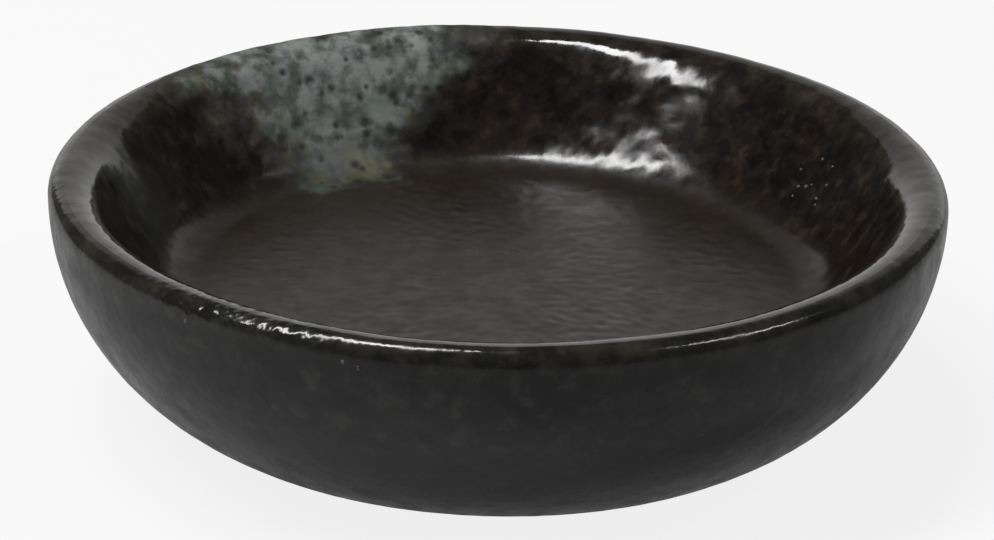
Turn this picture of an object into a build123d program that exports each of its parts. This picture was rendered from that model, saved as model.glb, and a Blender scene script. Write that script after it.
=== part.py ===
from build123d import *
import os
from math import acos, asin, atan2, cos, degrees, hypot, radians, sin

# Soy sauce dish: a thrown stoneware body, a glaze coat inside, a glaze coat outside
# and a pale glaze poured over the inside coat.
# Millimetres, +Z up, origin at the middle of the foot ring's underside, front towards -Y.

# Glazed dish
rim_diameter = 95.0  # widest, just under the lip
overall_height = 26.0
well_depth = 13.0  # from the lip crest to the floor of the well
well_floor_diameter = 64.0  # flat floor, to the start of its rounding
well_floor_rounding = 5.5  # where the floor turns up into the wall
lip_outer_radius = 1.7
lip_inner_radius = 4.2
base_diameter = 69.2  # flat underside, to the start of the shoulder rounding
shoulder_rounding = 1.5  # where the side turns under

# Turned foot, bare clay
foot_setback = 6.8  # from the shoulder rounding in to the foot
foot_height = 2.6  # from the table to the glazed underside
foot_width = 5.0
foot_recess_depth = 5.0
foot_edge_rounding = 0.6
foot_root_rounding = 1.0

# Glaze coats
glaze_thickness = 0.4
glaze_line_gap = 1.5  # bare clay between the outside coat and the foot
pale_thickness = 0.3
patch_azimuth = 119.0  # degrees from +X towards +Y, to the middle of the patch
patch_top_sweep = 24.0  # degrees turned from the lip crest to the top edge of the patch
patch_top_width = 32.0
patch_tip_width = 9.0
patch_tip_rounding = 3.0
patch_floor_gap = 0.6  # from the floor of the well up to the tip of the patch

# Lip
rim_radius = rim_diameter / 2
lip_crest_radius = rim_radius - lip_outer_radius
lip_outer_center = (lip_crest_radius, overall_height - lip_outer_radius)
lip_inner_center = (lip_crest_radius, overall_height - lip_inner_radius)

# Wall of the well: a straight slope without a crease at its ends, so it is the line between the centres
# of the inner lip and the floor rounding that touches both arcs
well_floor_radius = well_floor_diameter / 2
well_floor_z = overall_height - well_depth
well_rounding_center = (well_floor_radius, well_floor_z + well_floor_rounding)
center_run = lip_inner_center[0] - well_rounding_center[0]
center_rise = lip_inner_center[1] - well_rounding_center[1]
center_gap = hypot(center_run, center_rise)
well_wall_slope = degrees(
    atan2(center_rise, center_run) + asin((well_floor_rounding + lip_inner_radius) / center_gap)
)

# Side of the bowl: an arc, upright under the lip, that runs into the shoulder rounding without a crease
base_radius = base_diameter / 2
shoulder_center = (base_radius, foot_height + shoulder_rounding)
side_drop = lip_outer_center[1] - shoulder_center[1]
side_inset = rim_radius - base_radius
side_radius = (side_inset**2 + side_drop**2 - shoulder_rounding**2) / (
    2 * (side_inset - shoulder_rounding)
)
side_center = (rim_radius - side_radius, lip_outer_center[1])
shoulder_angle = -degrees(atan2(side_drop, shoulder_center[0] - side_center[0]))

# Foot
foot_radius = base_radius - foot_setback
foot_inner_radius = foot_radius - foot_width
glaze_line_radius = foot_radius + glaze_line_gap
clay_underside_z = foot_height + glaze_thickness


def floor_rounding_point(depth, sweep):
    """Point on the floor rounding, turned by sweep from the floor and sunk by depth below the glazed face."""
    radius = well_floor_rounding + depth
    return (
        well_rounding_center[0] + radius * sin(radians(sweep)),
        well_rounding_center[1] - radius * cos(radians(sweep)),
    )


def inner_lip_point(depth, sweep):
    """Point on the inner lip arc, turned by sweep from the crest and sunk by depth."""
    radius = lip_inner_radius - depth
    return (
        lip_inner_center[0] - radius * sin(radians(sweep)),
        lip_inner_center[1] + radius * cos(radians(sweep)),
    )


def draw_inner_face(depth, top_sweep, bottom_sweep):
    """Draw the inner lip, the wall and the floor rounding, sunk by depth below the glazed face."""
    CenterArc(lip_inner_center, lip_inner_radius - depth, 90 + top_sweep, well_wall_slope - top_sweep)
    Line(inner_lip_point(depth, well_wall_slope), floor_rounding_point(depth, well_wall_slope))
    CenterArc(
        well_rounding_center,
        well_floor_rounding + depth,
        bottom_sweep - 90,
        well_wall_slope - bottom_sweep,
    )


def draw_well_face(depth):
    """Draw the whole inside of the dish, from the lip crest to the axis."""
    draw_inner_face(depth, 0, 0)
    Line(floor_rounding_point(depth, 0), (0, well_floor_z - depth))


def draw_outer_face(depth, inner_end):
    """Draw the outside of the dish, from the lip crest under the shoulder to the radius inner_end."""
    CenterArc(lip_outer_center, lip_outer_radius - depth, 0, 90)
    CenterArc(side_center, side_radius - depth, shoulder_angle, -shoulder_angle)
    CenterArc(shoulder_center, shoulder_rounding - depth, -90, 90 + shoulder_angle)
    Line((shoulder_center[0], foot_height + depth), (inner_end, foot_height + depth))


def draw_crest_joint():
    """Draw the short joint between the two coats at the lip crest."""
    Line((lip_crest_radius, overall_height - glaze_thickness), (lip_crest_radius, overall_height))


# Stoneware body with its turned foot
with BuildPart() as stoneware_body:
    with BuildSketch(Plane.XZ) as clay_section:
        with BuildLine():
            draw_well_face(glaze_thickness)
            draw_outer_face(glaze_thickness, foot_radius)
            Polyline(
                (foot_radius, clay_underside_z),
                (foot_radius, 0),
                (foot_inner_radius, 0),
                (foot_inner_radius, foot_recess_depth),
                (0, foot_recess_depth),
                (0, well_floor_z - glaze_thickness),
            )
        make_face()
        foot_corners = clay_section.vertices().filter_by_position(Axis.X, foot_inner_radius, foot_radius)
        fillet(foot_corners.group_by(Axis.Y)[0], foot_edge_rounding)
        root_corners = [
            corner
            for corner in foot_corners
            if 0 < corner.Y <= max(foot_recess_depth, clay_underside_z)
        ]
        fillet(root_corners, foot_root_rounding)
    revolve(axis=Axis.Z)
stoneware_body.part.label = "stoneware_body"

# Dark glaze poured inside, up to the lip crest
with BuildPart() as inside_glaze:
    with BuildSketch(Plane.XZ):
        with BuildLine():
            draw_well_face(0)
            draw_well_face(glaze_thickness)
            draw_crest_joint()
            Line((0, well_floor_z - glaze_thickness), (0, well_floor_z))
        make_face()
    revolve(axis=Axis.Z)
inside_glaze.part.label = "inside_glaze"

# Dark glaze dipped outside, from the lip crest to the bare clay round the foot
with BuildPart() as outside_glaze:
    with BuildSketch(Plane.XZ):
        with BuildLine():
            draw_outer_face(0, glaze_line_radius)
            draw_outer_face(glaze_thickness, glaze_line_radius)
            draw_crest_joint()
            Line((glaze_line_radius, foot_height), (glaze_line_radius, clay_underside_z))
        make_face()
    revolve(axis=Axis.Z)
outside_glaze.part.label = "outside_glaze"

# Pale glaze poured over the inside coat at the back left: a tongue, wide at the lip and narrow at its tip
patch_tip_z = well_floor_z + patch_floor_gap
patch_tip_sweep = degrees(acos(1 - patch_floor_gap / well_floor_rounding))
patch_plane = Plane.XZ.rotated((0, 0, patch_azimuth))
patch_front = Plane.YZ.rotated((0, 0, patch_azimuth))

with BuildPart() as pale_glaze_patch:
    with BuildSketch(patch_plane):
        with BuildLine():
            draw_inner_face(0, patch_top_sweep, patch_tip_sweep)
            draw_inner_face(-pale_thickness, patch_top_sweep, patch_tip_sweep)
            Line(inner_lip_point(0, patch_top_sweep), inner_lip_point(-pale_thickness, patch_top_sweep))
            Line(
                floor_rounding_point(0, patch_tip_sweep),
                floor_rounding_point(-pale_thickness, patch_tip_sweep),
            )
        make_face()
    revolve(axis=Axis.Z)
    with BuildSketch(patch_front) as tongue:
        with BuildLine():
            Polyline(
                (-patch_top_width / 2, overall_height),
                (-patch_tip_width / 2, patch_tip_z),
                (patch_tip_width / 2, patch_tip_z),
                (patch_top_width / 2, overall_height),
                close=True,
            )
        make_face()
        fillet(tongue.vertices().group_by(Axis.Y)[0], patch_tip_rounding)
    extrude(amount=rim_radius, mode=Mode.INTERSECT)
pale_glaze_patch.part.label = "pale_glaze_patch"

os.makedirs("parts", exist_ok=True)
for piece in (stoneware_body, inside_glaze, outside_glaze, pale_glaze_patch):
    export_step(piece.part, f"parts/{piece.part.label}.step")
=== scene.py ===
import math
import random
from functools import cached_property

import bmesh
import bpy
from bpy.props import FloatProperty, FloatVectorProperty, IntProperty, PointerProperty
from mathutils import Matrix, Vector, noise


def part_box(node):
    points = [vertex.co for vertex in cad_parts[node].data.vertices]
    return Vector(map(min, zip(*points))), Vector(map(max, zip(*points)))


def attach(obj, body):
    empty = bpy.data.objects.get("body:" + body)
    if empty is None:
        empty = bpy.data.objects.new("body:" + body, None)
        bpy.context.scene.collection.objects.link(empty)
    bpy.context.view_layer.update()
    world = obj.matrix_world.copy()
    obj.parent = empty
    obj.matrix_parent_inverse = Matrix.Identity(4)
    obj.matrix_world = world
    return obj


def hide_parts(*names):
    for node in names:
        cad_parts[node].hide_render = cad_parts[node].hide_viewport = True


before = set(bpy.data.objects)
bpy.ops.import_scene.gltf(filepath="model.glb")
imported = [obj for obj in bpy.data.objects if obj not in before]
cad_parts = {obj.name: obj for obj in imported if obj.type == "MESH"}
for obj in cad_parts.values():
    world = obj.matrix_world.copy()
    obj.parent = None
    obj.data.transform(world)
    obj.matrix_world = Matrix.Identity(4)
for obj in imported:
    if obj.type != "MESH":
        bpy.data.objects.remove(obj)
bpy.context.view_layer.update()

bl_info = {
    "name": "Soy Sauce Dish",
    "version": (1, 0, 0),
    "blender": (4, 5, 0),
    "location": "View3D > Sidebar > Dish",
    "description": "Dresses the packed frame of a glazed stoneware soy sauce dish",
    "category": "Object",
}

# Boxes of the solids, in metres, with +Z up and the front towards -Y
BODY_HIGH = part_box("stoneware_body")[1]
INSIDE_LOW, INSIDE_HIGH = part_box("inside_glaze")
OUTSIDE_LOW, OUTSIDE_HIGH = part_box("outside_glaze")

PICTURE_WIDTH = 994
MM = 0.001
HAIR = 0.1 * MM
FULL_TURN = 2 * math.pi
QUARTER_TURN = math.pi / 2
UP = Vector((0, 0, 1))
PROFILE_AXIS = (0, -1, 0)
BLACK = (0, 0, 0)
WHITE = (1, 1, 1, 1)
WEDGES = 16
WELD = 0.002 * MM
SHARP_CORNER = math.radians(50)
GLAZE_IOR = 1.5
BEAD_IOR = 1.55
# Seeds of the thrown form's noise, of the beads' sizes and of the iron spots
NOISE_SEED = 3
BEAD_SEED = 3
SPOT_SEED = 7
# Beads of glaze on the wall of the well and on the side: azimuth in degrees, height in millimetres
WALL_BEADS = (
    (30.5, 19.0),
    (27.1, 20.8),
    (23.8, 20.8),
    (28.8, 17.5),
    (27.1, 17.9),
    (26.1, 18.3),
    (28.9, 16.5),
    (22.8, 17.5),
    (22.5, 19.1),
    (22.1, 17.0),
)
SIDE_BEADS = ((-107.8, 23.8), (-105.9, 23.4), (-129.4, 23.8))
# Least and largest bead, as shares of the usual radius
BEAD_SIZES = (0.7, 1.2)
# Cover of the pale glaze where it lies thickest, and where it is a thin haze
FULL_COVER = 1.5
HAZE_COVER = 0.62
# Strip lamps: name, place in metres, turn from +X in degrees, length and width in metres, power in watts
LAMPS = (
    ("left_strip_lamp", (-0.52, -0.14, 1.0), 31.2, 1.0, 0.16, 11),
    ("right_strip_lamp", (0.93, -0.18, 1.0), 40, 0.6, 0.09, 3.4),
)
# Table, in metres: its half size, and where and how far a painted shade dims its shine in the glaze, towards
# the front right and towards the front
TABLE_HALF = 4.0
TABLE_SKEW = 0.7
TABLE_SIDE_PAINTED_SHADE = (-0.07, -0.05, 0.7, 1.1)
TABLE_FRONT_PAINTED_SHADE = (-0.19, -0.09, 0.2, 1)
# Board at the back of the table, in metres: half sizes, place, and how its shine fades towards the top
BOARD_HALF_WIDTH = 1.1
BOARD_HALF_HEIGHT = 0.7
BOARD_PLACE = (0.15, 1.6, BOARD_HALF_HEIGHT)
BOARD_FADE_START = 0.1
BOARD_TOP_SHARE = 0.35


def measured(name, description, metres):
    """A property for a length in metres."""
    return FloatProperty(
        name=name,
        description=description,
        default=metres,
        min=0,
        precision=5,
        subtype="DISTANCE",
        unit="LENGTH",
    )


def length(name, description, millimetres):
    """A property for a length, given in millimetres and kept in metres."""
    return measured(name, description, millimetres * MM)


def factor(name, description, default):
    """A property for a share or a brightness from 0 to 1."""
    return FloatProperty(
        name=name, description=description, default=default, min=0, max=1, subtype="FACTOR"
    )


def turn(name, description, degrees):
    """A property for an angle, given in degrees and kept in radians."""
    return FloatProperty(
        name=name, description=description, default=math.radians(degrees), subtype="ANGLE", unit="ROTATION"
    )


def colour(name, description, default):
    """A property for a linear colour."""
    return FloatVectorProperty(
        name=name, description=description, default=default, size=3, min=0, max=1, subtype="COLOR"
    )


class DishSizes(bpy.types.PropertyGroup):
    """Sizes of the dish: the outermost are read from the solids, and the others are the same as theirs."""

    rim_radius: measured("Rim radius", "Widest radius, just under the lip", OUTSIDE_HIGH.x)
    crest_radius: measured("Crest radius", "Radius of the lip crest", INSIDE_HIGH.x)
    height: measured("Height", "From the table to the lip crest", OUTSIDE_HIGH.z)
    glaze: measured("Glaze", "Thickness of the dark coats", OUTSIDE_HIGH.z - BODY_HIGH.z)
    floor_height: measured(
        "Well floor", "From the table to the floor of the well", INSIDE_LOW.z + OUTSIDE_HIGH.z - BODY_HIGH.z
    )
    underside: measured("Underside", "From the table to the glazed underside", OUTSIDE_LOW.z)
    lip_inner: length("Inner lip", "Rounding of the lip towards the well", 4.2)
    floor_radius: length("Floor radius", "Flat floor of the well, to the start of its rounding", 32)
    rounding: length("Floor rounding", "Rounding where the floor turns up into the wall", 5.5)
    base_radius: length("Base", "Radius of the flat underside", 34.6)
    shoulder: length("Shoulder", "Rounding where the side turns under", 1.5)
    foot_radius: length("Foot", "Outer radius of the foot ring", 27.8)
    foot_width: length("Foot width", "Width of the foot ring", 5.0)
    recess: length("Recess", "Depth of the hollow inside the foot ring", 5.0)
    foot_edge: length("Foot edge", "Rounding of the foot ring's edges", 0.6)
    foot_root: length("Foot root", "Rounding where the foot ring meets the base", 1.0)
    glaze_gap: length("Glaze gap", "Bare clay between the outside coat and the foot", 1.5)
    fine: length("Fine mesh", "Spacing of the mesh on the faces that show", 0.4)
    coarse: length("Coarse mesh", "Spacing of the mesh on the faces that are covered", 2.5)
    segments: IntProperty(name="Segments", description="Steps round the dish", default=640, min=32)


class DishRelief(bpy.types.PropertyGroup):
    """Unevenness of the thrown form and of the fired glaze."""

    wobble: length("Wobble", "How far the thrown form strays from a true round", 0.22)
    wobble_pitch: length("Wobble pitch", "Spacing of the slow swells of the form", 36)
    lumps: length("Lumps", "Height of the finger marks in the form", 0.05)
    lumps_pitch: length("Lumps pitch", "Spacing of the finger marks", 10)
    peel_pitch: length("Peel pitch", "Spacing of the glaze's close ripples", 1.25)
    swell_pitch: length("Swell pitch", "Spacing of the glaze's broad ripples", 3.6)
    sag_pitch: length("Sag pitch", "Spacing of the glaze's ripples on the wall of the well", 2)
    floor_ripple: length("Floor ripple", "Ripple height on the floor of the well", 0.095)
    wall_ripple: length("Wall ripple", "Ripple height on the wall of the well", 0.045)
    run_ripple: length("Run ripple", "Ripple height where the glaze ran thick at the back right", 0.16)
    ripple_turn: length("Ripple turn", "Height in which the floor's ripple turns into the wall's", 1.5)
    calm_radius: length("Calm radius", "Radius from which the floor's ripple gets lower", 25)
    calm: factor("Calm", "Share of the floor's ripple that is left at the edge of the floor", 0.35)
    side_ripple: length("Side ripple", "Ripple height on the outside", 0.03)
    lip_ripple: length("Lip ripple", "Ripple height on the lip", 0.06)
    lip_reach: length("Lip reach", "How far below the crest the lip's ripple ends", 1.2)
    drip_pitch: length("Drip pitch", "Spacing of the small drips in the thick run", 1)
    run_bulge: length("Run bulge", "How far the thick run stands in from the wall", 0.42)
    run_dip: length("Run dip", "How much thinner the run is below the middle of the wall", 0.42)
    run_pool: length("Run pool", "How much thicker the run is again at the foot of the wall", 0.5)
    bulge_top: length("Bulge top", "From the crest down to the start of the run", 0.7)
    bulge_full: length("Full bulge", "From the crest down to where the run is thick", 3.4)
    dip_top: length("Dip top", "From the floor up to where the run starts to thin", 9.5)
    dip_full: length("Full dip", "From the floor up to where the run is thin", 4)
    pool_top: length("Pool top", "From the floor up to where the run thickens again", 4.5)
    pool_full: length("Full pool", "From the floor up to where the run's foot is thick", 1)
    run_start: length("Run start", "Radius at which the run's foot starts on the floor", 20)
    run_full: length("Full run", "Radius from which the run has its full thickness", 30)
    run_azimuth: turn("Run azimuth", "From +X to the middle of the thick run", 68)
    foot_azimuth: turn("Run foot azimuth", "From +X to the middle of the run at the foot of the wall", 79)
    foot_spread: turn("Run foot spread", "Turn over which the run fades out at the foot of the wall", 15)
    run_spread: turn("Run spread", "Turn over which the thick run fades out", 14.5)
    bead: length("Bead", "Radius of the drops of light glaze", 0.3)
    bead_sunk: length("Bead sunk", "How far the middle of a drop lies under the glaze", 0.12)
    line_pitch: length("Glaze line pitch", "Spacing of the waves of the glaze line", 5)
    line_wave: length("Glaze line wave", "How far the lower edge of the outside coat wanders", 0.7)
    rings: length("Turning rings", "Height of the rings that the turning tool left in the clay", 0.05)
    ring_pitch: length("Ring pitch", "Spacing of the turning rings", 1.3)
    inside_grain: length("Inside grain", "Height of the fine grain of the inside glaze", 0.014)
    outside_grain: length("Outside grain", "Height of the fine grain of the outside glaze", 0.03)
    clay_grain: length("Clay grain", "Height of the grit in the bare clay", 0.05)


class DishPatch(bpy.types.PropertyGroup):
    """Shape of the pale glaze poured over the back left of the well."""

    azimuth: turn("Azimuth", "From +X to the middle of the patch at the lip", 114.5)
    lean: turn("Lean", "How far the middle moves round on the way down", 5)
    spread: turn("Spread", "Turn from the middle to the edge at the lip", 21.5)
    tip_spread: turn("Tip spread", "Turn from the middle to the edge at the floor", 9)
    haze: turn("Haze", "Turn from the middle to the end of the thin haze on the left", 23)
    margin: turn("Margin", "Turn covered by the film beyond its spread", 14)
    tongue: length("Tongue", "How far the film runs in over the floor", 3)
    tip_reach: length("Tip reach", "How far the patch itself runs in over the floor", 1.1)
    tip_fade: length("Tip fade", "Length over which the patch thins towards its tip", 4)
    edge_pitch: length("Edge pitch", "Spacing of the broad bays in the patch's edge", 4.5)
    fray_pitch: length("Fray pitch", "Spacing of the small bays in the patch's edge", 2)
    hem_turn: turn("Hem turn", "Turn over which the film's sides sink into the dark coat", 4)
    hem: length("Hem", "Length over which the film's lower edge sinks into the dark coat", 1)
    thickness: length("Thickness", "How far the patch stands off the dark coat", 0.3)
    veil: length("Veil", "Height of the clear margin over the dark coat", 0.015)
    sunk: length("Sunk edge", "How far the film's edge sinks into the dark coat", 0.05)
    fine: length("Fine mesh", "Spacing of the mesh on the film", 0.22)
    spots: IntProperty(name="Spots", description="Iron spots that broke through", default=330, min=0)
    spot_least: length("Least spot", "Radius of the smallest spot", 0.35)
    spot_most: length("Largest spot", "Radius of the largest spot", 1.15)


class DishColours(bpy.types.PropertyGroup):
    """Colours of the clay and the glazes, linear."""

    black: colour("Black glaze", "Inside glaze where it lies thick", (0.007, 0.0057, 0.005))
    brown: colour("Brown glaze", "Inside glaze where it lies thinner", (0.0185, 0.0128, 0.0092))
    pool: colour("Pooled glaze", "Glaze on the floor of the well", (0.0215, 0.0165, 0.012))
    soot: colour("Soot glaze", "Outside glaze where it lies thick", (0.0042, 0.0044, 0.0042))
    slate: colour("Slate glaze", "Outside glaze where it lies thinner", (0.0115, 0.012, 0.0103))
    rust: colour("Rust", "Glaze that breaks brown on the lip", (0.052, 0.046, 0.034))
    olive: colour("Olive", "Fine light flecks in the glaze", (0.09, 0.092, 0.062))
    # Partly milkier glaze and partly a painted sheen of the right lamp
    milk_and_sheen: colour("Milky glaze", "Top of the pale patch", (0.32, 0.345, 0.33))
    pale: colour("Pale glaze", "Middle of the pale patch", (0.285, 0.302, 0.294))
    pale_green: colour("Pale green", "Greener parts of the pale patch", (0.142, 0.176, 0.136))
    moss: colour("Moss", "Dull green mottling of the pale patch", (0.03, 0.037, 0.027))
    moss_black: colour("Moss black", "Iron spots in the pale patch", (0.0095, 0.0145, 0.009))
    # Light colour of the beads: partly drops of light glaze, partly painted glints
    drop: colour("Drop", "Small drops of light glaze", (0.11, 0.123, 0.14))
    straw: colour("Straw", "Yellow edge of the pale patch", (0.09, 0.08, 0.037))
    clay: colour("Clay", "Bare fired clay", (0.23, 0.165, 0.115))
    clay_dark: colour("Dark clay", "Iron spots and toasted clay", (0.09, 0.055, 0.035))


class DishStudio(bpy.types.PropertyGroup):
    """Camera, lamps and table."""

    camera_distance: length("Camera distance", "From the middle of the lip plane", 400)
    camera_rise: turn("Camera rise", "Height of the camera above the lip plane", 21.45)
    camera_dip: turn("Camera dip", "How far below the lip plane's middle the camera aims", 1.52)
    camera_roll: turn("Camera roll", "Tilt of the picture", 1.31)
    focal_pixels: FloatProperty(name="Focal length", description="In picture pixels", default=3780, min=1)
    table: colour("Table", "Pale paper of the table", (0.82, 0.82, 0.82))
    table_shine: colour("Table in the glaze", "How the lit table shows in the glaze", (0.49, 0.49, 0.49))
    table_glow: factor("Table glow", "Share of plain white in what the camera sees of the table", 0.85)
    table_sheen: factor("Table sheen", "Share of plain white in what the glaze mirrors of the table", 0.18)
    backdrop: factor("Backdrop", "How bright the backdrop shows in the glaze", 0.81)
    room: factor("Room", "Brightness of the rest of the room", 0.03)
    room_sheen: factor("Room sheen", "Share of plain white in what the glaze mirrors of the room", 0.04)


def settings(group):
    """One of the dish's groups of settings in this scene."""
    return getattr(bpy.context.scene, "dish_" + group)


def sizes():
    """The dish's sizes in this scene."""
    return settings("sizes")


def ease(value, low, high):
    """0 below low, 1 above high, and a smooth rise between."""
    share = min(1.0, max(0.0, (value - low) / (high - low)))
    return share * share * (3 - 2 * share)


def blend(share, start, end):
    """Start turning to end as the share goes from 0 to 1."""
    return start + (end - start) * share


# Profile drawing: a vertex is walked along lines and swung along arcs in the XZ plane
def start_profile(x, z):
    """A new mesh and the first vertex of a profile in it."""
    bm = bmesh.new()
    return bm, bmesh.ops.create_vert(bm, co=(x, 0, z))["vert"][0]


def walk(bm, vertex, x, z, spacing):
    """Run a straight line of edges from the vertex to x, z."""
    reach = Vector((x, 0, z)) - vertex.co
    steps = max(1, round(reach.length / spacing))
    made = bmesh.ops.spin(bm, geom=[vertex], axis=PROFILE_AXIS, angle=0, dvec=reach / steps, steps=steps)
    return made["geom_last"][0]


def swing(bm, vertex, center, angle, spacing):
    """Run an arc of edges from the vertex about a centre, positive from +X towards +Z."""
    hub = Vector((center[0], 0, center[1]))
    steps = max(2, round((vertex.co - hub).length * abs(angle) / spacing))
    made = bmesh.ops.spin(bm, geom=[vertex], cent=hub, axis=PROFILE_AXIS, angle=angle, steps=steps)
    return made["geom_last"][0]


def lathe(bm, segments):
    """Turn the drawn profile once round the dish's axis, wedge by wedge, and weld it shut."""
    wedge_turn = FULL_TURN / WEDGES
    drawn = bm.verts[:] + bm.edges[:]
    bmesh.ops.spin(bm, geom=drawn, axis=UP, angle=wedge_turn, steps=segments // WEDGES)
    wedge = bm.verts[:] + bm.edges[:] + bm.faces[:]
    bmesh.ops.spin(
        bm, geom=wedge, axis=UP, angle=FULL_TURN - wedge_turn, steps=WEDGES - 1, use_duplicate=True
    )
    bmesh.ops.remove_doubles(bm, verts=bm.verts[:], dist=WELD)
    bmesh.ops.recalc_face_normals(bm, faces=bm.faces[:])


def ring_point(radius, azimuth, height):
    """Point at a radius, an azimuth and a height."""
    return Vector((radius * math.cos(azimuth), radius * math.sin(azimuth), height))


class Section:
    """Centres and angles of the dish's profile, worked out from its sizes."""

    def __init__(self):
        s = sizes()
        self.bead_sunk = settings("relief").bead_sunk
        self.lip_outer = s.rim_radius - s.crest_radius
        self.lip_outer_center = (s.crest_radius, s.height - self.lip_outer)
        # The wall of the well is the straight line that touches the inner lip and the floor rounding
        self.lip_inner_center = Vector((s.crest_radius, s.height - s.lip_inner))
        self.rounding_center = Vector((s.floor_radius, s.floor_height + s.rounding))
        reach = self.lip_inner_center - self.rounding_center
        self.slope = math.atan2(reach.y, reach.x) + math.asin((s.lip_inner + s.rounding) / reach.length)
        # The side arc is upright under the lip and runs into the shoulder rounding
        self.shoulder_center = (s.base_radius, s.underside + s.shoulder)
        drop = self.lip_outer_center[1] - self.shoulder_center[1]
        inset = s.rim_radius - s.base_radius
        self.side_radius = (inset**2 + drop**2 - s.shoulder**2) / (2 * (inset - s.shoulder))
        self.side_center = (s.rim_radius - self.side_radius, self.lip_outer_center[1])
        self.side_angle = math.atan2(drop, self.shoulder_center[0] - self.side_center[0])

    def wall_foot(self, depth):
        """Where the wall of the well meets the floor rounding, sunk by depth below the glazed face."""
        way = Vector((math.sin(self.slope), -math.cos(self.slope)))
        return self.rounding_center + (sizes().rounding + depth) * way

    def wall_point(self, azimuth, height):
        """Point just under the face of the wall of the well."""
        foot = self.wall_foot(0)
        radius = foot.x + (height - foot.y) / math.tan(self.slope)
        return ring_point(radius + self.bead_sunk, azimuth, height)

    def side_point(self, azimuth, height):
        """Point just under the face of the outer side."""
        rise = height - self.side_center[1]
        radius = self.side_center[0] + math.sqrt(self.side_radius**2 - rise**2)
        return ring_point(radius - self.bead_sunk, azimuth, height)

    def draw_wall(self, bm, vertex, depth, spacing):
        """Draw the inner lip, the wall and the floor rounding, sunk by depth below the glazed face."""
        foot = self.wall_foot(depth)
        vertex = swing(bm, vertex, self.lip_inner_center, self.slope, spacing)
        vertex = walk(bm, vertex, foot.x, foot.y, spacing)
        return swing(bm, vertex, self.rounding_center, -self.slope, spacing)

    def draw_inside(self, bm, vertex, depth, spacing):
        """Draw the inside from the crest to the axis, sunk by depth below the glazed face."""
        vertex = self.draw_wall(bm, vertex, depth, spacing)
        return walk(bm, vertex, 0, sizes().floor_height - depth, spacing)

    def draw_outside(self, bm, vertex, depth, spacing, end):
        """Draw the outside from the crest under the shoulder to the radius end, sunk by depth."""
        s = sizes()
        vertex = swing(bm, vertex, self.lip_outer_center, -QUARTER_TURN, spacing)
        vertex = swing(bm, vertex, self.side_center, -self.side_angle, spacing)
        vertex = swing(bm, vertex, self.shoulder_center, self.side_angle - QUARTER_TURN, spacing)
        return walk(bm, vertex, end, s.underside + depth, spacing)


# Unevenness: one warp for every piece, so that they keep touching, and a ripple on the glazed faces
def drift(point, pitch, seed):
    """Smooth noise about -1 to 1, with its swells about two pitches apart."""
    return noise.noise(point / pitch + Vector((seed, 2.7 * seed, -1.3 * seed)))


def warp(point):
    """Where a point of the perfect dish lies on the thrown one."""
    s = sizes()
    relief = settings("relief")
    rise = max(0.0, (point.z - s.underside) / (s.height - s.underside))
    slow = noise.noise_vector(point / relief.wobble_pitch + Vector((3.1, 7.7, 1.9)))
    close = noise.noise_vector(point / relief.lumps_pitch + Vector((11.3, 2.9, 5.1)))
    return point + rise * (relief.wobble * slow + relief.lumps * close)


def peel(point):
    """Orange peel of the fired glaze, about -1 to 1."""
    relief = settings("relief")
    return 0.65 * drift(point, relief.peel_pitch, 1.7) + 0.35 * drift(point, relief.swell_pitch, 4.3)


def sag(point):
    """Longer swells of the glaze where it hung on the wall, about -1 to 1."""
    relief = settings("relief")
    return 0.6 * drift(point, relief.sag_pitch, 5.9) + 0.4 * drift(point, relief.swell_pitch, 4.3)


def lip_share(point):
    """1 on the lip crest, fading to 0 about a millimetre below it."""
    height = sizes().height
    return ease(point.z, height - settings("relief").lip_reach, height - 2 * HAIR)


def lip_wave(point):
    """Height of the glaze's ripples on the lip, the same for both coats."""
    return settings("relief").lip_ripple * (0.35 * peel(point) + 0.65 * sag(point))


def lift_way(point, normal):
    """Which way a point of a coat is lifted: straight up on the crest, where the two coats meet."""
    return UP if point.z > sizes().height - WELD else normal


def around(point, azimuth, spread):
    """1 at an azimuth of the dish, fading out to both sides over the spread."""
    return math.exp(-(((math.atan2(point.y, point.x) - azimuth) / spread) ** 2))


def well_ripple(point):
    """Height of the ripples at a point of the well: on the floor, on the wall, in the run and on the lip."""
    s = sizes()
    relief = settings("relief")
    run = around(point, relief.run_azimuth, relief.run_spread)
    swell = sag(point)
    drips = relief.run_ripple * (0.8 * swell + 0.2 * drift(point, relief.drip_pitch, 2.2))
    hung = blend(run * run, relief.wall_ripple * swell, drips)
    calm = blend(ease(Vector(point.xy).length, relief.calm_radius, s.floor_radius), 1, relief.calm)
    flat = relief.floor_ripple * calm * peel(point)
    wall = ease(point.z, s.floor_height, s.floor_height + relief.ripple_turn)
    return blend(lip_share(point), blend(wall, flat, hung), lip_wave(point))


def run_thickness(point):
    """How far the thick run pushes the wall of the well towards the axis."""
    s = sizes()
    relief = settings("relief")
    rise = point.z - s.floor_height
    drop = s.height - point.z
    bulge = relief.run_bulge * ease(drop, relief.bulge_top, relief.bulge_full)
    foot = relief.run_pool * (1 - ease(rise, relief.pool_full, relief.pool_top))
    foot -= relief.run_dip * (1 - ease(rise, relief.dip_full, relief.dip_top))
    bulge *= around(point, relief.run_azimuth, relief.run_spread)
    foot *= around(point, relief.foot_azimuth, relief.foot_spread)
    return (bulge + foot) * ease(Vector(point.xy).length, relief.run_start, relief.run_full)


def glazed_well(point, normal, lift=0):
    """Where a point of the well lies once its glaze has rippled and run, lifted by a further coat."""
    if normal.z < 0:
        return warp(point)
    inward = Vector((-point.x, -point.y, 0)).normalized()
    raised = lift_way(point, normal) * (well_ripple(point) + lift)
    return warp(point + raised + inward * run_thickness(point))


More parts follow.
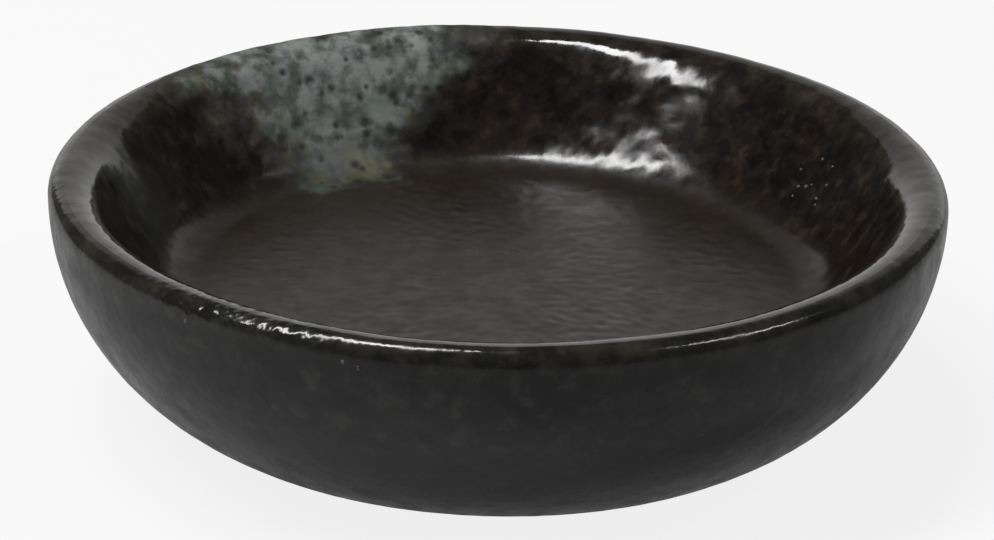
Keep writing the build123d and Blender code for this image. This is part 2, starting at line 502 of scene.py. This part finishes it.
def glazed_side(point, normal):
    """Where a point of the outside lies once its glaze has rippled and crept to a wavy line by the foot."""
    s = sizes()
    relief = settings("relief")
    outward = Vector((point.x, point.y, 0)).normalized()
    ripple = blend(lip_share(point), relief.side_ripple * peel(point), lip_wave(point))
    near = ease(s.base_radius - Vector(point.xy).length, 0, s.base_radius - s.foot_radius - s.glaze_gap)
    wave = near * relief.line_wave * drift(outward * s.foot_radius, relief.line_pitch, 3.3)
    return warp(point + lift_way(point, normal) * ripple + outward * wave)


def turned_clay(point, normal):
    """Where a point of the clay lies once the turning tool has left its rings round the foot."""
    s = sizes()
    relief = settings("relief")
    radius = Vector(point.xy).length
    bare = ease(s.underside + s.glaze + HAIR - point.z, 0, 2 * HAIR)
    inner = ease(s.foot_radius - s.foot_width - radius, 0, 5 * HAIR)
    rings = math.sin(FULL_TURN * radius / relief.ring_pitch) + 0.6 * drift(point, 3 * MM, 8.4)
    flat = abs(normal.z) * ease(point.z, 0, HAIR)
    return warp(point + normal * relief.rings * rings * flat * max(bare, inner))


def raise_mesh(bm, place_at):
    """Move each vertex to the place that its point and normal have on the fired dish."""
    bm.normal_update()
    places = [place_at(v.co, v.normal) for v in bm.verts]
    for v, place in zip(bm.verts, places):
        v.co = place


def add_beads(bm, places, size):
    """Set small beads of glaze half into a coat, with the second finish of its piece."""
    draw = random.Random(BEAD_SEED)
    for place in places:
        radius = size * draw.uniform(*BEAD_SIZES)
        bead = bmesh.ops.create_icosphere(
            bm, subdivisions=2, radius=radius, matrix=Matrix.Translation(warp(place))
        )
        for face in {face for v in bead["verts"] for face in v.link_faces}:
            face.material_index = 1


def add_object(bm, name):
    """Make a mesh an object of the scene."""
    mesh = bpy.data.meshes.new(name)
    bm.to_mesh(mesh)
    bm.free()
    piece = bpy.data.objects.new(name, mesh)
    bpy.context.collection.objects.link(piece)
    return piece


def make_piece(bm, name):
    """Smooth the mesh, keep its sharp corners and make it an object."""
    bmesh.ops.recalc_face_normals(bm, faces=bm.faces[:])
    for face in bm.faces:
        face.smooth = True
    for edge in bm.edges:
        if edge.is_manifold and edge.calc_face_angle() > SHARP_CORNER:
            edge.smooth = False
    return add_object(bm, name)


def dress(piece, material, node):
    """Give a piece its finish and put it in the place of its solid."""
    piece.data.materials.append(material)
    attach(piece, "root")
    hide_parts(node)


# Materials
def empty_graph(owner, output):
    """Graph of an owner's emptied node tree, and the socket that takes the owner's surface."""
    owner.use_nodes = True
    owner.node_tree.nodes.clear()
    g = Graph(owner.node_tree)
    return g, g.add(output).inputs["Surface"]


def new_material(name):
    """A material with a plain shader, its graph and its shader."""
    material = bpy.data.materials.new(name)
    g, surface = empty_graph(material, "ShaderNodeOutputMaterial")
    shader = g.add("ShaderNodeBsdfPrincipled")
    g.link(shader.outputs["BSDF"], surface)
    return material, g, shader


class Graph:
    """Short forms for the nodes that the finishes are made of."""

    def __init__(self, tree):
        self.tree = tree

    @cached_property
    def place(self):
        """Object coordinates."""
        return self.add("ShaderNodeTexCoord").outputs["Object"]

    @cached_property
    def split_place(self):
        """Node that parts the object coordinates."""
        return self.add("ShaderNodeSeparateXYZ", {0: self.place})

    def axis(self, name):
        """One of the object coordinates, X, Y or Z."""
        return self.split_place.outputs[name]

    def add(self, kind, feeds=None, **options):
        """A new node with some of its options and inputs."""
        node = self.tree.nodes.new(kind)
        for key, value in options.items():
            setattr(node, key, value)
        self.feed(node, feeds or {})
        return node

    def feed(self, node, feeds):
        """Feed a node's inputs, given by name or place."""
        for key, source in feeds.items():
            self.link(source, node.inputs[key])

    def link(self, source, target):
        """Feed an input from a socket, or set it to a plain value."""
        if isinstance(source, bpy.types.NodeSocket):
            self.tree.links.new(source, target)
        else:
            target.default_value = source

    def noise(self, scale, detail=2.0, roughness=0.5, offset=(0, 0, 0)):
        """Noise from 0 to 1, with scale in cycles per metre."""
        shift = self.add("ShaderNodeMapping", {"Vector": self.place, "Location": offset})
        feeds = {"Vector": shift.outputs["Vector"], "Scale": scale, "Detail": detail, "Roughness": roughness}
        return self.add("ShaderNodeTexNoise", feeds).outputs["Fac"]

    def ramp(self, value, low, high, start=0.0, end=1.0):
        """Value eased from start at low to end at high."""
        feeds = {"Value": value, "From Min": low, "From Max": high, "To Min": start, "To Max": end}
        return self.add("ShaderNodeMapRange", feeds, interpolation_type="SMOOTHSTEP").outputs["Result"]

    def math(self, operation, a, b):
        """Two values put together by an operation."""
        return self.add("ShaderNodeMath", {0: a, 1: b}, operation=operation).outputs[0]

    def mix(self, amount, a, b):
        """Colour a turning to colour b as the amount goes to 1."""
        a, b = (v if isinstance(v, bpy.types.NodeSocket) else (*v, 1) for v in (a, b))
        return self.add("ShaderNodeMix", {"Factor": amount, 6: a, 7: b}, data_type="RGBA").outputs[2]

    def bump(self, height, distance):
        """Normals of a fine relief, with its full height in metres."""
        return self.add("ShaderNodeBump", {"Height": height, "Distance": distance}).outputs["Normal"]


def iron_glaze_colour(g, lip, thick, thin, pool, breaks):
    """Dark clouds with lighter and darker mottling, pooled glaze on the floor and rust on the lip."""
    floor = sizes().floor_height
    clouds = g.math("ADD", g.noise(90, 5, 0.65), g.ramp(g.noise(520, 3, 0.6), 0.3, 0.7, -0.22, 0.22))
    base = g.mix(g.ramp(clouds, 0.25, 0.8), thick, thin)
    mottle = g.noise(430, 3, 0.6, offset=(0.5, 0.2, 0.8))
    base = g.mix(g.ramp(mottle, 0.52, 0.7, 0, breaks), base, [3 * v for v in thin])
    base = g.mix(g.ramp(mottle, 0.48, 0.3, 0, 0.8), base, [0.4 * v for v in thick])
    base = g.mix(g.ramp(g.axis("Z"), floor, floor + 3 * MM, 0.7, 0), base, pool)
    rusty = g.ramp(g.noise(300, 4, 0.65, offset=(0.3, 0.1, 0)), 0.38, 0.68, 0.1, breaks)
    return g.mix(g.math("MULTIPLY", lip, rusty), base, settings("colours").rust)


def iron_glaze_roughness(g, rough, satin):
    """Patchy gloss, satin on the floor and less so on the wall, and glossier on the lip."""
    s = sizes()
    patchy = g.ramp(g.noise(300, 4, 0.6, offset=(0, 0.2, 0.4)), 0.3, 0.75, *rough)
    gloss = g.ramp(g.axis("Z"), s.height - 1.3 * MM, s.height - 0.5 * MM, 1, 0.6)
    low = g.ramp(g.axis("Z"), s.floor_height + 0.3 * MM, s.floor_height + 1.2 * MM, satin, 0.25 * satin)
    below_lip = g.ramp(g.axis("Z"), s.height - 5 * MM, s.height - 3 * MM, 1, 0)
    return g.math("ADD", g.math("MULTIPLY", patchy, gloss), g.math("MULTIPLY", low, below_lip))


def iron_glaze_grain(g, lip):
    """Fine relief, with stronger strokes on the front of the lip, most of all at its left."""
    front = g.ramp(g.axis("Y"), -38 * MM, -28 * MM, 1, 0.1)
    front = g.math("MULTIPLY", front, g.ramp(g.axis("X"), -28 * MM, -10 * MM, 8, 1))
    strokes = g.math("MULTIPLY", g.noise(950, 1, 0.5), g.math("MULTIPLY", lip, front))
    return g.math("ADD", g.noise(900, 1, 0.5), strokes)


def iron_glaze_pattern(name, thick, thin, pool, rough, satin, breaks):
    """Node group of a dark glaze: its colour, roughness and fine relief."""
    if name in bpy.data.node_groups:
        return bpy.data.node_groups[name]
    height = sizes().height
    tree = bpy.data.node_groups.new(name, "ShaderNodeTree")
    for socket, kind in (("Colour", "Color"), ("Roughness", "Float"), ("Height", "Float")):
        tree.interface.new_socket(socket, in_out="OUTPUT", socket_type="NodeSocket" + kind)
    g = Graph(tree)
    out = g.add("NodeGroupOutput")
    lip = g.ramp(g.axis("Z"), height - 3 * MM, height - 0.4 * MM)
    looks = {
        "Colour": iron_glaze_colour(g, lip, thick, thin, pool, breaks),
        "Roughness": iron_glaze_roughness(g, rough, satin),
        "Height": iron_glaze_grain(g, lip),
    }
    g.feed(out, looks)
    return tree


def inside_pattern():
    """Pattern of the dark glaze in the well."""
    c = settings("colours")
    return iron_glaze_pattern(
        "inside_iron_glaze", c.black, c.brown, c.pool, rough=(0.09, 0.22), satin=0.18, breaks=0.6
    )


def outside_pattern():
    """Pattern of the dark glaze on the side."""
    c = settings("colours")
    return iron_glaze_pattern(
        "outside_iron_glaze", c.soot, c.slate, c.soot, rough=(0.2, 0.38), satin=0, breaks=0.55
    )


def iron_glaze_material(name, tree, grain):
    """Glossy dark glaze with a fine relief."""
    material, g, shader = new_material(name)
    pattern = g.add("ShaderNodeGroup", node_tree=tree).outputs
    normal = g.bump(pattern["Height"], grain)
    looks = {"Base Color": pattern["Colour"], "Roughness": pattern["Roughness"]}
    g.feed(shader, {**looks, "Normal": normal, "IOR": GLAZE_IOR})
    return material


def ash_glaze_colour(g, rim, spot):
    """Pale and green glaze, lighter at the top as milkier glaze with a painted sheen of the right lamp, moss
    and straw towards its edge, and dark iron spots.
    """
    s = sizes()
    c = settings("colours")
    body = g.mix(g.ramp(g.noise(240, 4, 0.6), 0.38, 0.64), c.pale, c.pale_green)
    # Painted sheen: the top of the patch is lighter, partly as milkier glaze and partly standing in for the
    # right lamp's sheen on the satin glaze
    milk_and_sheen_share = g.ramp(g.axis("Z"), s.height - 8 * MM, s.height - 2.5 * MM, 0, 0.8)
    body = g.mix(g.math("MULTIPLY", milk_and_sheen_share, g.ramp(rim, 1.1, 1.55)), body, c.milk_and_sheen)
    mottle = g.noise(430, 3, 0.55, offset=(0.2, 0, 0.5))
    body = g.mix(g.ramp(mottle, 0.4, 0.66, 0, 0.8), body, c.moss)
    dull = g.ramp(g.axis("Z"), s.floor_height + 0.5 * MM, s.floor_height + 5 * MM, 0.8, 0)
    earthy = g.mix(g.ramp(g.noise(260, 3, 0.6, offset=(0.4, 0.9, 0)), 0.42, 0.6), c.moss, c.straw)
    body = g.mix(dull, body, earthy)
    body = g.mix(g.ramp(rim, 0.1, 0.9, 0.85, 0), body, c.moss)
    strawy = g.ramp(g.noise(520, 3, offset=(0.7, 0, 0)), 0.46, 0.62)
    body = g.mix(g.math("MULTIPLY", g.ramp(rim, 0.4, 1.0, 0.8, 0), strawy), body, c.straw)
    broken = g.math("MULTIPLY", spot, g.ramp(g.noise(700, 2, 0.6), 0.3, 0.55, 0.5, 1))
    return g.mix(broken, body, c.moss_black)


def ash_glaze_material():
    """Pale grey-green glaze with dark spots, fading into the dark glaze at its edge."""
    material, g, shader = new_material("ash_glaze")
    cover = g.add("ShaderNodeAttribute", attribute_name="cover").outputs["Fac"]
    spot = g.add("ShaderNodeAttribute", attribute_name="spot").outputs["Fac"]
    dark = g.add("ShaderNodeGroup", node_tree=inside_pattern()).outputs
    rim = g.math("ADD", cover, g.ramp(g.noise(380, 4, 0.6), 0.25, 0.75, -0.35, 0.35))
    base = g.mix(g.ramp(rim, -0.1, 0.6), dark["Colour"], ash_glaze_colour(g, rim, spot))
    flecks = g.math("ADD", g.noise(1300, 2, 0.6), g.ramp(cover, -0.8, 0.3, -0.16, 0))
    base = g.mix(g.ramp(flecks, 0.66, 0.76, 0, 0.4), base, settings("colours").olive)
    satin = g.ramp(g.noise(340, 3, 0.6), 0.3, 0.75, 0.45, 0.62)
    feeds = {"Factor": g.ramp(rim, -0.7, 0.25), 2: dark["Roughness"], 3: satin}
    rough = g.add("ShaderNodeMix", feeds, data_type="FLOAT").outputs[0]
    normal = g.bump(dark["Height"], settings("relief").inside_grain)
    g.feed(shader, {"Base Color": base, "Roughness": rough, "Normal": normal, "IOR": GLAZE_IOR})
    return material


def bead_and_glint_material():
    """Small drop of light glaze in the dark, shared by the two coats; its light colour also paints the glints
    on it.
    """
    name = "glaze_bead_and_glint"
    if name in bpy.data.materials:
        return bpy.data.materials[name]
    c = settings("colours")
    material, g, shader = new_material(name)
    base = g.mix(g.ramp(g.noise(900, 2, 0.5), 0.3, 0.7), c.slate, c.drop)
    g.feed(shader, {"Base Color": base, "Roughness": 0.35, "IOR": BEAD_IOR})
    return material


def bare_clay_material():
    """Bare fired stoneware."""
    c = settings("colours")
    material, g, shader = new_material("bare_stoneware")
    base = g.mix(g.ramp(g.noise(150, 5, 0.65), 0.35, 0.7), c.clay, c.clay_dark)
    normal = g.bump(g.noise(2200, 3, 0.6), settings("relief").clay_grain)
    g.feed(shader, {"Base Color": base, "Roughness": 0.85, "Normal": normal})
    return material


# Operators
class DISH_OT_stoneware_body(bpy.types.Operator):
    """Turn the clay body with its foot ring"""

    bl_idname = "dish.stoneware_body"
    bl_label = "Stoneware body"

    def execute(self, context):
        s = sizes()
        cut = Section()
        bm, vertex = start_profile(s.crest_radius, s.height - s.glaze)
        cut.draw_inside(bm, vertex, s.glaze, s.coarse)
        covered_end = s.base_radius - 2 * MM
        vertex = cut.draw_outside(bm, vertex, s.glaze, s.coarse, covered_end)
        ceiling = s.underside + s.glaze
        foot_in = s.foot_radius - s.foot_width
        vertex = walk(bm, vertex, s.foot_radius + s.foot_root, ceiling, s.fine)
        vertex = swing(bm, vertex, (s.foot_radius + s.foot_root, ceiling - s.foot_root), QUARTER_TURN, s.fine)
        vertex = walk(bm, vertex, s.foot_radius, s.foot_edge, s.fine)
        vertex = swing(bm, vertex, (s.foot_radius - s.foot_edge, s.foot_edge), -QUARTER_TURN, s.fine)
        vertex = walk(bm, vertex, foot_in + s.foot_edge, 0, s.fine)
        vertex = swing(bm, vertex, (foot_in + s.foot_edge, s.foot_edge), -QUARTER_TURN, s.fine)
        vertex = walk(bm, vertex, foot_in, s.recess - s.foot_root, s.fine)
        vertex = swing(bm, vertex, (foot_in - s.foot_root, s.recess - s.foot_root), QUARTER_TURN, s.fine)
        walk(bm, vertex, 0, s.recess, s.fine)
        lathe(bm, s.segments // 2)
        raise_mesh(bm, turned_clay)
        piece = make_piece(bm, "stoneware_body_turned")
        dress(piece, bare_clay_material(), "stoneware_body")
        return {"FINISHED"}


def finish_coat(bm, place_at, beads, name, node, material):
    """Turn a dark coat's profile, ripple it, set its beads and put it in the place of its solid."""
    lathe(bm, sizes().segments)
    raise_mesh(bm, place_at)
    add_beads(bm, beads, settings("relief").bead)
    piece = make_piece(bm, name)
    dress(piece, material, node)
    piece.data.materials.append(bead_and_glint_material())


class DISH_OT_dark_coats(bpy.types.Operator):
    """Pour the inside glaze and dip the outside glaze"""

    bl_idname = "dish.dark_coats"
    bl_label = "Dark glaze coats"

    def execute(self, context):
        s = sizes()
        relief = context.scene.dish_relief
        cut = Section()
        bm, crest = start_profile(s.crest_radius, s.height)
        cut.draw_inside(bm, crest, 0, s.fine)
        root = walk(bm, crest, s.crest_radius, s.height - s.glaze, s.glaze)
        cut.draw_inside(bm, root, s.glaze, s.coarse)
        beads = [cut.wall_point(math.radians(turned), z * MM) for turned, z in WALL_BEADS]
        material = iron_glaze_material("iron_glaze_inside", inside_pattern(), relief.inside_grain)
        finish_coat(bm, glazed_well, beads, "inside_glaze_poured", "inside_glaze", material)

        # The outside coat ends in a round edge by the foot
        edge_radius = s.glaze / 2
        line = s.foot_radius + s.glaze_gap + edge_radius
        bm, crest = start_profile(s.crest_radius, s.height)
        edge = cut.draw_outside(bm, crest, 0, s.fine, line)
        swing(bm, edge, (line, s.underside + edge_radius), -FULL_TURN / 2, edge_radius / 2)
        root = walk(bm, crest, s.crest_radius, s.height - s.glaze, s.glaze)
        cut.draw_outside(bm, root, s.glaze, s.coarse, line)
        bmesh.ops.remove_doubles(bm, verts=bm.verts[:], dist=WELD)
        beads = [cut.side_point(math.radians(turned), z * MM) for turned, z in SIDE_BEADS]
        material = iron_glaze_material("iron_glaze_outside", outside_pattern(), relief.outside_grain)
        finish_coat(bm, glazed_side, beads, "outside_glaze_dipped", "outside_glaze", material)
        return {"FINISHED"}


def well_depth_share(point):
    """0 at the lip crest and 1 at the floor of the well."""
    s = sizes()
    return (s.height - point.z) / (s.height - s.floor_height)


def pale_cover(point):
    """How thick the pale glaze lies at a point: FULL_COVER in its middle and 0 at its ragged edge."""
    patch = settings("patch")
    depth = well_depth_share(point)
    azimuth = math.atan2(point.y, point.x)
    middle = patch.azimuth + patch.lean * depth
    half = blend(ease(depth, 0.1, 1.1), patch.spread, patch.tip_spread)
    aside = (azimuth - middle) / half
    # On the right the patch ends soon, and on the left it thins out to a haze, but not low on the wall
    haze = blend(ease(azimuth - patch.azimuth, 0.4 * patch.haze, 1.4 * patch.haze), HAZE_COVER, -FULL_COVER)
    haze -= FULL_COVER * ease(depth, 0.7, 1.05)
    rim_run = 0.4 * (1 - ease(depth, 0.05, 0.25))
    side = 2.6 * (1 + aside) if aside < 0 else max(haze, 1.25 * (1.25 - aside) + rim_run)
    top = 0.9 + 6 * depth
    tip = (math.hypot(point.x, point.y) - sizes().floor_radius + patch.tip_reach) / patch.tip_fade
    ragged = 0.3 * drift(point, patch.edge_pitch, 6.1) + 0.35 * drift(point, patch.fray_pitch, 9.2)
    return min(FULL_COVER, side, top, tip) + ragged


def film_hem(point):
    """0 on the border of the film and 1 inside it."""
    patch = settings("patch")
    inward = patch.spread + patch.margin - abs(math.atan2(point.y, point.x) - patch.azimuth)
    ahead = math.hypot(point.x, point.y) - sizes().floor_radius + patch.tongue
    return min(ease(inward, 0, patch.hem_turn), ease(ahead, 0, patch.hem))


def scatter_spots(bm):
    """Places and radii of the iron spots in the pale patch, more and larger ones on its right."""
    patch = settings("patch")
    draw = random.Random(SPOT_SEED)
    spots = []
    for v in draw.sample(bm.verts[:], patch.spots):
        cover = pale_cover(v.co)
        left = (math.atan2(v.co.y, v.co.x) - patch.azimuth) / patch.spread
        size = blend(draw.random() ** 1.4, patch.spot_least, patch.spot_most)
        size *= (1.6 - 0.7 * min(1, cover)) * (1 - 0.2 * left)
        if cover > -0.2 and draw.random() > 0.5 + 0.4 * left:
            spots.append((v.co.copy(), size))
    return spots


class DISH_OT_pale_patch(bpy.types.Operator):
    """Pour the pale glaze over the back left of the well"""

    bl_idname = "dish.pale_patch"
    bl_label = "Pale glaze patch"

    def execute(self, context):
        s = sizes()
        patch = context.scene.dish_patch
        bm, crest = start_profile(s.crest_radius, s.height)
        end = Section().draw_wall(bm, crest, 0, patch.fine)
        walk(bm, end, end.co.x - patch.tongue, end.co.z, patch.fine)
        half_turn = patch.spread + patch.margin
        start = Matrix.Rotation(patch.azimuth - half_turn, 3, "Z")
        bmesh.ops.rotate(bm, verts=bm.verts[:], matrix=start)
        steps = round(2 * half_turn * s.crest_radius / patch.fine)
        bmesh.ops.spin(bm, geom=bm.verts[:] + bm.edges[:], axis=UP, angle=2 * half_turn, steps=steps)
        bmesh.ops.recalc_face_normals(bm, faces=bm.faces[:])
        if bm.faces[:][0].normal.z < 0:
            bmesh.ops.reverse_faces(bm, faces=bm.faces[:])
        self.pour(bm)
        bmesh.ops.solidify(bm, geom=bm.faces[:], thickness=patch.thickness + patch.sunk)
        piece = make_piece(bm, "pale_glaze_poured")
        dress(piece, ash_glaze_material(), "pale_glaze_patch")
        return {"FINISHED"}

    def pour(self, bm):
        """Store the cover and the spots on the film, and lift it by them."""
        patch = settings("patch")
        spots = scatter_spots(bm)
        cover_layer = bm.verts.layers.float.new("cover")
        spot_layer = bm.verts.layers.float.new("spot")
        bm.normal_update()
        places = []
        for v in bm.verts:
            cover = pale_cover(v.co)
            spot = max(1 - ease((v.co - place).length / size, 0.2, 1.4) for place, size in spots)
            v[cover_layer] = cover
            v[spot_layer] = spot
            lift = blend(film_hem(v.co), -patch.sunk, patch.veil)
            thin = 1 - 0.6 * ease(well_depth_share(v.co), 0.7, 1)
            lift += patch.thickness * ease(cover, -0.7, 1.1) * thin * (1 - 0.2 * spot)
            places.append(glazed_well(v.co, v.normal, lift))
        for v, place in zip(bm.verts, places):
            v.co = place


class DISH_OT_stage(bpy.types.Operator):
    """Set up the table, the backdrop, the lamps and the camera"""

    bl_idname = "dish.stage"
    bl_label = "Stage"

    def execute(self, context):
        scene = context.scene
        make_table()
        make_world(scene)
        for lamp in LAMPS:
            make_lamp(*lamp)
        make_camera(scene)
        scene.view_settings.view_transform = "Standard"
        return {"FINISHED"}


def ray_share(g, camera, shiny):
    """One value for camera rays, another for mirrored or refracted rays, and 0 for the rest."""
    rays = g.add("ShaderNodeLightPath")
    mirrored = g.math("MAXIMUM", rays.outputs["Is Glossy Ray"], rays.outputs["Is Transmission Ray"])
    seen = g.math("MULTIPLY", rays.outputs["Is Camera Ray"], camera)
    return g.math("ADD", g.math("MULTIPLY", mirrored, shiny), seen)


def mix_shaders(g, amount, a, b, surface):
    """Show shader a turning to shader b as the amount goes to 1."""
    mix = g.add("ShaderNodeMixShader", {"Fac": amount, 1: a.outputs[0], 2: b.outputs[0]})
    g.link(mix.outputs["Shader"], surface)


def table_material():
    """Pale paper: the camera sees it near white, and the glaze mirrors it with its shadow and with a painted
    shade towards the front right and the front.
    """
    studio = settings("studio")
    material = bpy.data.materials.new("table_paper")
    g, surface = empty_graph(material, "ShaderNodeOutputMaterial")
    ahead = g.math("SUBTRACT", g.axis("Y"), g.math("MULTIPLY", g.axis("X"), TABLE_SKEW))
    # Painted shade: what the glaze mirrors of the table darkens towards the front right and the front, as if
    # a shadow fell there
    fall = g.math("MULTIPLY", g.ramp(ahead, *TABLE_SIDE_PAINTED_SHADE), g.ramp(g.axis("Y"), *TABLE_FRONT_PAINTED_SHADE))
    tone = g.mix(ray_share(g, 0, 1), studio.table, g.mix(fall, BLACK, studio.table_shine))
    paper = g.add("ShaderNodeBsdfDiffuse", {"Color": tone})
    glow = g.add("ShaderNodeEmission")
    shown = g.math("MULTIPLY", fall, ray_share(g, 0, studio.table_sheen))
    amount = g.math("ADD", shown, ray_share(g, studio.table_glow, 0))
    mix_shaders(g, amount, paper, glow, surface)
    return material


def backdrop_material():
    """White board: the camera sees it white, and the glaze mirrors it softer."""
    bright = settings("studio").backdrop
    material = bpy.data.materials.new("backdrop_board")
    g, surface = empty_graph(material, "ShaderNodeOutputMaterial")
    fall = g.ramp(g.axis("Z"), BOARD_FADE_START, 2 * BOARD_HALF_HEIGHT, bright, BOARD_TOP_SHARE * bright)
    shown = g.math("MULTIPLY", fall, ray_share(g, 0, 1))
    glow = g.add("ShaderNodeEmission", {"Strength": g.math("ADD", shown, ray_share(g, 1, 0))})
    g.link(glow.outputs["Emission"], surface)
    return material


def add_stage_piece(bm, name, material):
    """Make a mesh of the stage."""
    piece = add_object(bm, name)
    piece.data.materials.append(material)


def make_table():
    """A pale table that runs out of the picture, with a board standing at its back."""
    bm = bmesh.new()
    bmesh.ops.create_grid(bm, x_segments=1, y_segments=1, size=TABLE_HALF)
    add_stage_piece(bm, "table", table_material())
    bm = bmesh.new()
    bmesh.ops.create_grid(bm, x_segments=1, y_segments=1, size=1)
    bmesh.ops.scale(bm, vec=(BOARD_HALF_WIDTH, BOARD_HALF_HEIGHT, 1), verts=bm.verts[:])
    bmesh.ops.rotate(bm, verts=bm.verts[:], matrix=Matrix.Rotation(QUARTER_TURN, 3, "X"))
    bmesh.ops.translate(bm, verts=bm.verts[:], vec=BOARD_PLACE)
    add_stage_piece(bm, "backdrop", backdrop_material())


def make_world(scene):
    """A dim room that shows white to the camera."""
    studio = scene.dish_studio
    scene.world = bpy.data.worlds.new("studio_room")
    g, surface = empty_graph(scene.world, "ShaderNodeOutputWorld")
    room = g.add("ShaderNodeBackground", {"Color": WHITE, "Strength": studio.room})
    white = g.add("ShaderNodeBackground", {"Color": WHITE})
    mix_shaders(g, ray_share(g, 1, studio.room_sheen), room, white, surface)


def make_lamp(name, place, degrees, run, width, power):
    """A strip lamp that hangs level over the table, turned by degrees from +X."""
    lamp = bpy.data.lights.new(name, "AREA")
    lamp.shape = "RECTANGLE"
    lamp.size = run
    lamp.size_y = width
    lamp.energy = power
    holder = bpy.data.objects.new(name, lamp)
    holder.location = place
    holder.rotation_euler = (0, 0, math.radians(degrees))
    holder.visible_camera = False
    bpy.context.collection.objects.link(holder)


def make_camera(scene):
    """The camera of the photograph."""
    studio = scene.dish_studio
    lens = bpy.data.cameras.new("camera")
    lens.sensor_fit = "HORIZONTAL"
    lens.sensor_width = 36
    lens.lens = studio.focal_pixels * lens.sensor_width / PICTURE_WIDTH
    lens.clip_start = 0.01
    lens.clip_end = 20
    holder = bpy.data.objects.new("camera", lens)
    rise = studio.camera_rise
    middle = Vector((0, 0, sizes().height))
    back = Vector((0, -math.cos(rise), math.sin(rise)))
    tilt = Matrix.Rotation(QUARTER_TURN - rise - studio.camera_dip, 4, "X")
    roll = Matrix.Rotation(studio.camera_roll, 4, "Z")
    holder.matrix_world = Matrix.Translation(middle + back * studio.camera_distance) @ tilt @ roll
    bpy.context.collection.objects.link(holder)
    scene.camera = holder


class DISH_PT_panel(bpy.types.Panel):
    """Lists the dish's steps in the sidebar"""

    bl_idname = "DISH_PT_panel"
    bl_label = "Soy sauce dish"
    bl_space_type = "VIEW_3D"
    bl_region_type = "UI"
    bl_category = "Dish"

    def draw(self, context):
        for step in STEPS:
            self.layout.operator(step.bl_idname)


GROUPS = {
    "dish_sizes": DishSizes,
    "dish_relief": DishRelief,
    "dish_patch": DishPatch,
    "dish_colours": DishColours,
    "dish_studio": DishStudio,
}
STEPS = (DISH_OT_stoneware_body, DISH_OT_dark_coats, DISH_OT_pale_patch, DISH_OT_stage)


def register():
    noise.seed_set(NOISE_SEED)
    for name, group in GROUPS.items():
        bpy.utils.register_class(group)
        setattr(bpy.types.Scene, name, PointerProperty(type=group))
    for step in STEPS:
        bpy.utils.register_class(step)
    bpy.utils.register_class(DISH_PT_panel)


def unregister():
    bpy.utils.unregister_class(DISH_PT_panel)
    for step in reversed(STEPS):
        bpy.utils.unregister_class(step)
    for name, group in reversed(GROUPS.items()):
        delattr(bpy.types.Scene, name)
        bpy.utils.unregister_class(group)


def main():
    register()
    bpy.ops.dish.stoneware_body()
    bpy.ops.dish.dark_coats()
    bpy.ops.dish.pale_patch()
    bpy.ops.dish.stage()


if __name__ == "__main__":
    main()
